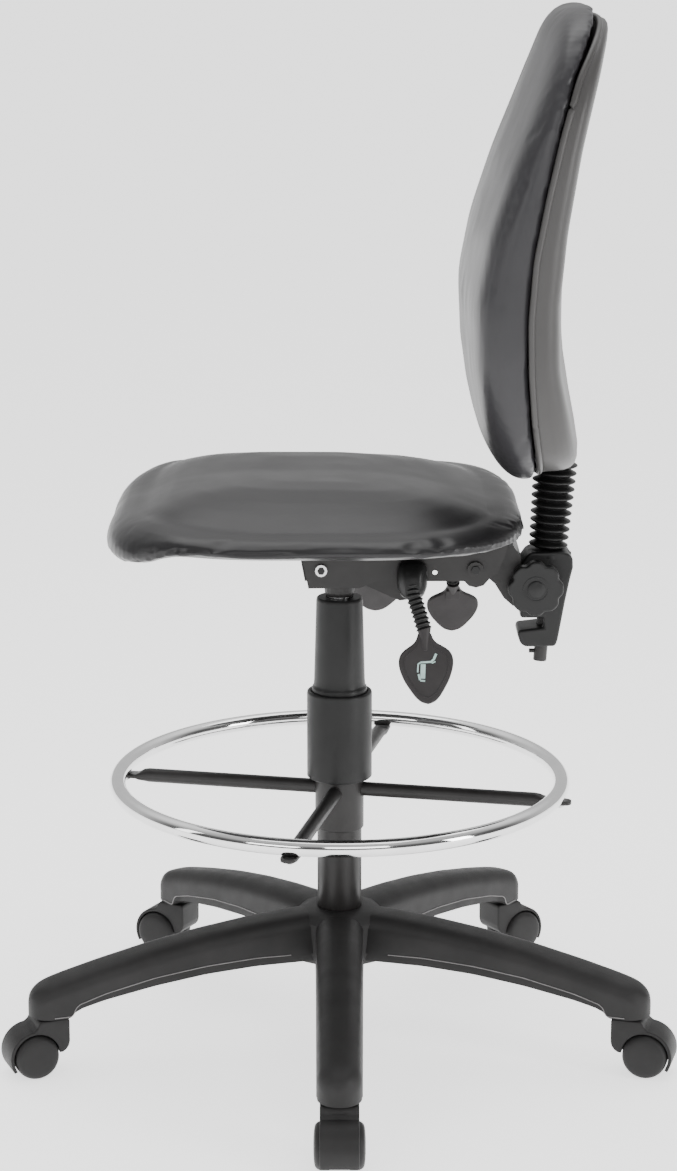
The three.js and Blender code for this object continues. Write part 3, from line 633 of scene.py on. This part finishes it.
lobes = []
for t in np.arange(160) * 2 * math.pi / 160:
    r = 29.3 + 1.5 * math.cos(KNOB_LOBES * t) - 0.4 * math.cos(2 * KNOB_LOBES * t)
    lobes.append((KNOB_Y + r * math.cos(t), KNOB_Z + r * math.sin(t)))
knob = build("clamp_knob_body", *prism(lobes, 45, 60.3, "x"), PLASTIC)
finish_piece(knob, "clamp_knob", ["adjust_knob"], 2.6, 4)
to_knob = Matrix.Translation((0, KNOB_Y, KNOB_Z)) @ Matrix.Rotation(math.pi / 2, 4, "Y")
cap = [turned([(0, 62.2), (8.4, 62.0), (9.4, 61.2), (9.6, 60.0), (0, 60.0)], 48),
       turned([(12.6, 60.0), (12.6, 61.0), (14.2, 61.0), (14.2, 60.0)], 48, True),
       turned([(0, 24.6), (13, 24.6), (13, 46), (0, 46)], 32)]
finish_piece(build("knob_cap", *moved(join(*cap), to_knob), PLASTIC), "clamp_knob")

post = turned([(0, -126), (6.4, -126), (7.5, -124.8), (7.5, 112), (0, 112)], 48)
foot_pin = moved(turned([(0, -6), (2.4, -6), (2.4, 3), (0, 3)], 20),
                 Matrix.Translation((0, upright_y(456) - 10, 456)) @ Matrix.Rotation(math.pi / 2, 4, "X"))
finish_piece(build("upright_end", *moved(post, leaning(571)), STEEL), "back")
finish_piece(build("upright_pin", *foot_pin, STEEL), "back", ["upright_stop_pin"])

RIBS, RIB_STEPS, RIB_DEPTH = 11, 14, 7.4
BELLOWS_LOW, BELLOWS_HIGH, BELLOWS_BORE = -42, 57, 9
bellow_profile = []
for t in np.arange(RIBS * RIB_STEPS + 1) / (RIBS * RIB_STEPS):
    wave = 0.5 - 0.5 * math.cos(2 * math.pi * RIBS * t)
    outer = 21.6 + 3.2 * t
    bellow_profile.append((outer - RIB_DEPTH * (1 - wave ** 0.8),
                           BELLOWS_LOW + (BELLOWS_HIGH - BELLOWS_LOW) * t))
bellow_profile += [(BELLOWS_BORE, BELLOWS_HIGH), (BELLOWS_BORE, BELLOWS_LOW)]
bellows_place = Matrix.Translation((0, -2, 0)) @ leaning(615.5)
bellows = build("bellows_boot", *moved(turned(bellow_profile, 72, True), bellows_place), RUBBER, 70)
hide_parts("bellows")
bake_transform(bellows)


# ---------------------------------------------------------------- upholstery
def outline_radius(a, b, n, angle):
    """Radius of a rounded rectangle (a superellipse) with half sizes a and b in a given direction."""
    return (np.abs(np.cos(angle) / a) ** n + np.abs(np.sin(angle) / b) ** n) ** (-1 / n)


def plump(obj, cap, pressure=4.0, voxel=5.0, frames=20):
    """Swells a soft piece with cloth pressure, by at most `cap` at each point, and leaves a plain mesh."""
    bpy.context.view_layer.objects.active = obj
    for o in bpy.context.selected_objects:
        o.select_set(False)
    obj.select_set(True)
    remesh = obj.modifiers.new("voxels", "REMESH")
    remesh.mode, remesh.voxel_size, remesh.use_smooth_shade = "VOXEL", voxel * MM, True
    bpy.ops.object.modifier_apply(modifier=remesh.name)
    before = np.array([v.co for v in obj.data.vertices], float)
    cloth = obj.modifiers.new("cloth", "CLOTH")
    s = cloth.settings
    s.quality, s.use_pressure, s.uniform_pressure_force = 4, True, pressure
    s.effector_weights.gravity = 0
    s.tension_stiffness = s.compression_stiffness = 18
    s.bending_stiffness = 2.0
    cloth.point_cache.frame_start, cloth.point_cache.frame_end = 1, frames
    for f in range(1, frames + 1):
        bpy.context.scene.frame_set(f)
    graph = bpy.context.evaluated_depsgraph_get()
    after = np.array([v.co for v in obj.evaluated_get(graph).data.vertices], float)
    obj.modifiers.remove(cloth)
    bpy.context.scene.frame_set(1)
    step = after - before
    size = np.linalg.norm(step, axis=1, keepdims=True)
    limit = cap * MM
    settled = before + step / np.maximum(size, 1e-9) * limit * np.tanh(size / limit)
    obj.data.vertices.foreach_set("co", settled.astype(np.float32).ravel())
    obj.data.update()


def subdivided(obj):
    """One level of subdivision, applied."""
    m = obj.modifiers.new("fine", "SUBSURF")
    m.levels = m.render_levels = 1
    bpy.context.view_layer.objects.active = obj
    bpy.ops.object.modifier_apply(modifier=m.name)
    for p in obj.data.polygons:
        p.use_smooth = True


SEAT_Y = smooth_read([(-262, -80), (-240, -52), (-214, -33.5), (-180, -17), (-146, -8.5), (-100, -4),
                      (0, -4.5), (68, -10), (102, -16.5), (136, -26), (159, -34), (181, -41), (212, -54)],
                      26)
SEAT_X = smooth_read([(-260, 609), (-190, 635), (-150, 649.5), (-110, 660), (-75, 664), (-40, 661.5),
                      (0, 659.5), (40, 661.5), (75, 664), (110, 660), (150, 649.5), (190, 635), (260, 609)],
                      34)


SEAT_HIGH = 664.2       # the two ridges beside the middle dip


def seat_top(x, y):
    """Height of the seat's top; the falls to the sides and to the ends meet in rounded corners."""
    return SEAT_HIGH - np.hypot(SEAT_HIGH - SEAT_X(x), SEAT_Y(y))


SEAT_LOW = smooth_read([(-258, 591.5), (-222, 594), (-200, 601.5), (-174, 612.5), (-150, 615), (-90, 614),
                        (0, 616), (212, 613)], 24)
SEAT_A, SEAT_B, SEAT_MID = 248.0, 227.5, -24.5
SEAT_SQUARE = 3.7       # power of the seat's rounded-rectangle outline
SEAT_FLOOR = 606.3
SHOULDER = 0.82         # from here outwards the seat rolls over from its top to its side


def seat_ring(f, a, h):
    """One ring of the seat: h runs 0 at the lower edge to 1 on the top; None is the flat underside."""
    r = outline_radius(SEAT_A, SEAT_B, SEAT_SQUARE, a)
    x, y = f * r * np.cos(a), SEAT_MID + f * r * np.sin(a)
    if h is None:
        return np.c_[x, y, np.full(len(a), SEAT_FLOOR)]
    inner = min(f, SHOULDER)
    top = seat_top(inner * r * np.cos(a), SEAT_MID + inner * r * np.sin(a))
    low = SEAT_LOW(y)
    return np.c_[x, y, low + h * (top - low)]


HEM_HEIGHT, HEM_DEPTH, HEM_WIDTH = 6.5, 1.5, 2.2
seat_levels = [(0.02, None), (0.5, None), (0.8, None), (0.925, 0.0), (0.96, 0.0), (0.978, 0.02),
               (0.99, 0.06), (0.997, 0.12), (1.0, 0.2), (0.999, 0.3), (0.993, 0.42), (0.98, 0.56),
               (0.96, 0.69), (0.935, 0.8), (0.905, 0.885), (0.87, 0.95), (0.82, 0.99)]
seat_levels += [(f, 1.0) for f in (0.76, 0.68, 0.58, 0.45, 0.3, 0.15, 0.02)]
angles = np.arange(120) * 2 * math.pi / 120
seat = build("seat_upholstery", *skin([seat_ring(f, angles, h) for f, h in seat_levels]), VINYL, 180)
plump(seat, 3.0, 2.0)
subdivided(seat)
pts = np.array([v.co for v in seat.data.vertices], float) / MM - (COLUMN_X, 0, 0)
flat = pts[:, :2] - (0, SEAT_MID)
turn = np.arctan2(flat[:, 1], flat[:, 0])
# the hem: a slightly wavy line pressed in just above the lower edge
line = SEAT_LOW(pts[:, 1]) + HEM_HEIGHT + 0.8 * np.sin(7 * turn) + 0.5 * np.sin(12 * turn + 1)
outside = np.linalg.norm(flat, axis=1) / outline_radius(SEAT_A, SEAT_B, SEAT_SQUARE, turn) > 0.93
press = np.where(outside, HEM_DEPTH * np.exp(-((pts[:, 2] - line) / HEM_WIDTH) ** 2), 0)
pts[:, :2] -= flat / np.linalg.norm(flat, axis=1)[:, None] * press[:, None]
seat.data.vertices.foreach_set("co", ((pts + (COLUMN_X, 0, 0)) * MM).astype(np.float32).ravel())
seat.data.update()
finish_piece(seat, "seat", ["seat_cushion"])


def bead(points, radius, sides=10):
    """A closed round cord through a loop of points."""
    ahead = np.roll(points, -1, axis=0) - np.roll(points, 1, axis=0)
    ahead /= np.linalg.norm(ahead, axis=1)[:, None]
    rings = []
    for p, w in zip(points, ahead):
        u = np.cross(w, (0, 0, 1.0) if abs(w[2]) < 0.9 else (0, 1.0, 0))
        u /= np.linalg.norm(u)
        v = np.cross(w, u)
        t = np.arange(sides) * 2 * math.pi / sides
        rings.append(p + radius * (np.cos(t)[:, None] * u + np.sin(t)[:, None] * v))
    rings.append(rings[0])
    return skin(rings, cap=False)


FRONT = smooth_read([(650, 182), (675, 166), (700, 156), (750, 143.5), (800, 135), (865, 131.5), (930, 144),
                     (1000, 167), (1065, 192.5), (1115, 210.5), (1145, 218), (1170, 226)], 40)
SEAM_Y = smooth_read([(650, 212), (700, 206), (750, 198.5), (800, 194), (855, 192.5), (916, 197), (980, 209),
                      (1037, 222), (1097, 239), (1147, 262), (1170, 272)], 36)
REAR = smooth_read([(650, 260), (700, 259), (750, 250), (800, 240), (865, 238.5), (941, 245.5),
                    (1022, 258.5), (1098, 275), (1150, 284), (1170, 287)], 36)


BACK_A, BACK_B, BACK_MID, BACK_SQUARE = 222.0, 253.0, 910.0, 3.3


def rise(z, amount):
    """Lifts the rounded bottom of the back."""
    return z + amount * np.maximum(0, (760 - z) / 103) ** 2


def back_ring(f, a, spot, shift=0.0):
    """One ring of the back: spot is -1 on the front face, 0 at the seam and 1 on the rear face."""
    r = f * outline_radius(BACK_A, BACK_B, BACK_SQUARE, a)
    x, z = r * np.cos(a), BACK_MID + r * np.sin(a)
    seam = SEAM_Y(z)
    curl = np.hypot(x, 30) - 30     # both faces draw in towards the seam at the sides
    face = FRONT(z) + 0.045 * curl if spot < 0 else REAR(z) - 0.09 * curl
    return np.c_[x, seam + abs(spot) * (face - seam) + shift, rise(z, 9)]


def shell_ring(f, a, spot, shift=0.0):
    """The rear shell stops a little short of the cushion at its top and bottom."""
    ring = back_ring(f, a, spot, shift)
    z = ring[:, 2]
    ring[:, 2] = rise(z - 11 * np.maximum(0, (z - 1040) / 123) ** 2, 9)
    return ring


def groove(obj, lines, side):
    """Presses creases into one side of the back: each has [y, z] points, depth, width and whether it tapers."""
    pts = np.array([v.co for v in obj.data.vertices], float) / MM - (COLUMN_X, 0, 0)
    near = np.clip((side * pts[:, 0] - 120) / 60, 0, 1)
    push = np.zeros(len(pts))
    for path, depth, width, tapered in lines:
        path = np.array(path, float)
        length = np.linalg.norm(np.diff(path, axis=0), axis=1)
        run = np.r_[0, np.cumsum(length)]
        best, along_it = np.full(len(pts), 1e9), np.zeros(len(pts))
        for p, q, size, start in zip(path[:-1], path[1:], length, run):
            t = np.clip(((pts[:, 1:] - p) @ (q - p)) / size ** 2, 0, 1)
            d = np.linalg.norm(pts[:, 1:] - p - t[:, None] * (q - p), axis=1)
            closer = d < best
            best, along_it = np.where(closer, d, best), np.where(closer, start + t * size, along_it)
        fade = 1 - along_it / run[-1] if tapered else np.sin(np.clip(along_it / run[-1], 0,
                                                                     1) * math.pi) ** 0.5
        push += depth * np.exp(-(best / width) ** 2) * fade
    pts[:, 0] -= side * push * near
    obj.data.vertices.foreach_set("co", ((pts + (COLUMN_X, 0, 0)) * MM).astype(np.float32).ravel())
    obj.data.update()


cushion_levels = [(0.02, 0, -0.6), (0.5, 0, -0.6), (0.95, 0, -0.6), (0.985, 0, -0.6), (0.995, -0.05, 0),
                  (1.0, -0.13, 0), (1.003, -0.25, 0), (1.002, -0.38, 0), (0.998, -0.51, 0),
                  (0.989, -0.64, 0), (0.974, -0.75, 0), (0.95, -0.84, 0), (0.915, -0.91, 0),
                  (0.87, -0.955, 0), (0.81, -0.98, 0), (0.7, -0.995, 0), (0.58, -1, 0), (0.4, -1, 0),
                  (0.2, -1, 0), (0.02, -1, 0)]
angles = np.arange(128) * 2 * math.pi / 128
cushion = build("back_upholstery", *skin([back_ring(f, angles, s, d) for f, s, d in cushion_levels]),
                LIT_BACK_VINYL, 180)
plump(cushion, 3.0, 2.0)
subdivided(cushion)
panel_edge = [(SEAM_Y(z) + 0.64 * (FRONT(z) - SEAM_Y(z)), z) for z in range(700, 1130, 20)]
creases = [([(SEAM_Y(1134), 1134), (234, 1124), (222, 1121)], 2.6, 4.0, True),
           ([(SEAM_Y(1096), 1096), (226, 1086), (214, 1078)], 3.0, 4.5, True),
           ([(SEAM_Y(1076), 1076), (224, 1082), (213, 1086)], 1.6, 4.0, True),
           ([(SEAM_Y(735), 735), (191, 727), (182, 712)], 2.4, 4.5, True),
           ([(SEAM_Y(985), 985), (199, 976), (190, 968)], 0.9, 6.0, True),
           (panel_edge, 1.3, 6.0, False)]
for side in (1, -1):
    groove(cushion, creases, side)
finish_piece(cushion, "back", ["back_cushion"])

shell_levels = [(0.955, 0.02, 0.2), (0.985, 0.02, 0.2), (0.993, 0.06, 0), (0.993, 0.16, 0), (0.99, 0.3, 0),
                (0.988, 0.48, 0), (0.982, 0.66, 0), (0.968, 0.82, 0), (0.945, 0.93, 0), (0.91, 0.985, 0),
                (0.86, 1.0, 0), (0.75, 1.0, 0), (0.6, 1, 0), (0.4, 1, 0), (0.2, 1, 0), (0.02, 1, 0)]
# the shell and its piping wear the lightened shell vinyl, painted light for the light on the shell's lit side
shell = build("back_cover", *skin([shell_ring(f, angles, s, d) for f, s, d in shell_levels]), LIT_SHELL_VINYL,
              60)
finish_piece(shell, "back", ["back_shell", "back_board"])
piping = shell_ring(0.992, np.arange(360) * 2 * math.pi / 360, 0.0, 0.9)
finish_piece(build("back_piping", *bead(piping, 3.4), LIT_SHELL_VINYL, 180), "back")


# ---------------------------------------------------------------- stage, light and camera
def plane(name, size, z, mat):
    """A square in metres, level, about the origin."""
    mesh = bpy.data.meshes.new(name)
    h = size / 2
    mesh.from_pydata([(-h, -h, z), (h, -h, z), (h, h, z), (-h, h, z)], [], [(0, 1, 2, 3)])
    obj = bpy.data.objects.new(name, mesh)
    bpy.context.scene.collection.objects.link(obj)
    obj.data.materials.append(mat)
    return obj


FLOOR = material("floor", rgb(0.86), rgb(0.88), 0.75, 0.03, 2.0, 60.0, 0.0, specular=0.2)
FLOOR.node_tree.nodes["Principled BSDF"].inputs["Emission Color"].default_value = (1, 1, 1, 1)
FLOOR.node_tree.nodes["Principled BSDF"].inputs["Emission Strength"].default_value = 1.5
floor = plane("floor", 400.0, -0.0004, FLOOR)

world = bpy.data.worlds.new("studio")
bpy.context.scene.world = world
world.use_nodes = True
sky = world.node_tree
background = sky.nodes["Background"]
direction = sky.nodes.new("ShaderNodeTexCoord").outputs["Generated"]
split = sky.nodes.new("ShaderNodeSeparateXYZ")
sky.links.new(direction, split.inputs["Vector"])


def sky_range(source, low, high, at_low, at_high):
    """A smooth step between two strengths over a range of view direction."""
    node = sky.nodes.new("ShaderNodeMapRange")
    node.interpolation_type = "SMOOTHSTEP"
    for key, value in zip(("From Min", "From Max", "To Min", "To Max"), (low, high, at_low, at_high)):
        node.inputs[key].default_value = value
    sky.links.new(source, node.inputs["Value"])
    return node.outputs["Result"]


# bright behind the chair and overhead, dim on the camera's side
behind = sky_range(split.outputs["X"], -0.55, 0.1, 0.75, 0.12)
above = sky_range(split.outputs["Z"], 0.35, 0.8, 0.0, 0.55)
total = sky.nodes.new("ShaderNodeMath")
total.operation = "ADD"
sky.links.new(behind, total.inputs[0])
sky.links.new(above, total.inputs[1])
sky.links.new(total.outputs["Value"], background.inputs["Strength"])
background.inputs["Color"].default_value = (1.0, 1.0, 1.0, 1)


def softbox(name, place, target, size, power):
    """A rectangular studio light, in metres and watts, aimed at a target."""
    light = bpy.data.lights.new(name, "AREA")
    light.shape, light.size, light.size_y = "RECTANGLE", size[0], size[1]
    light.energy = power
    obj = bpy.data.objects.new(name, light)
    bpy.context.scene.collection.objects.link(obj)
    obj.location = place
    obj.rotation_mode = "QUATERNION"
    obj.rotation_quaternion = (Vector(target) - Vector(place)).to_track_quat("-Z", "Y")


softbox("overhead", (-0.4, 0.1, 3.2), (0, 0, 0.6), (2.6, 2.6), 44)
softbox("camera_side", (3.0, -1.9, 1.7), (0, 0, 0.7), (1.6, 0.8), 20)
softbox("near_side", (3.2, 0.5, 1.9), (0, 0.2, 0.9), (1.8, 1.2), 26)
softbox("front_side", (0.6, -3.0, 1.3), (0, 0, 0.8), (0.5, 1.8), 10)
softbox("rear_side", (1.9, 3.2, 1.3), (0, 0, 0.9), (0.8, 1.9), 55)

CAMERA_REACH, CAMERA_HEIGHT = 3029.0, 1247.0     # from the column axis, and from the floor
CAMERA_DOWN = 13.31                              # degrees below level
camera_data = bpy.data.cameras.new("camera")
camera_data.sensor_width, camera_data.sensor_fit = 36.0, "AUTO"
camera_data.lens = 86.23
camera_data.clip_end = 60.0
camera = bpy.data.objects.new("camera", camera_data)
bpy.context.scene.collection.objects.link(camera)
camera.location = ((CAMERA_REACH + COLUMN_X) * MM, -0.0011, CAMERA_HEIGHT * MM)
camera.rotation_euler = (math.radians(90 - CAMERA_DOWN), 0, math.radians(90))
bpy.context.scene.camera = camera
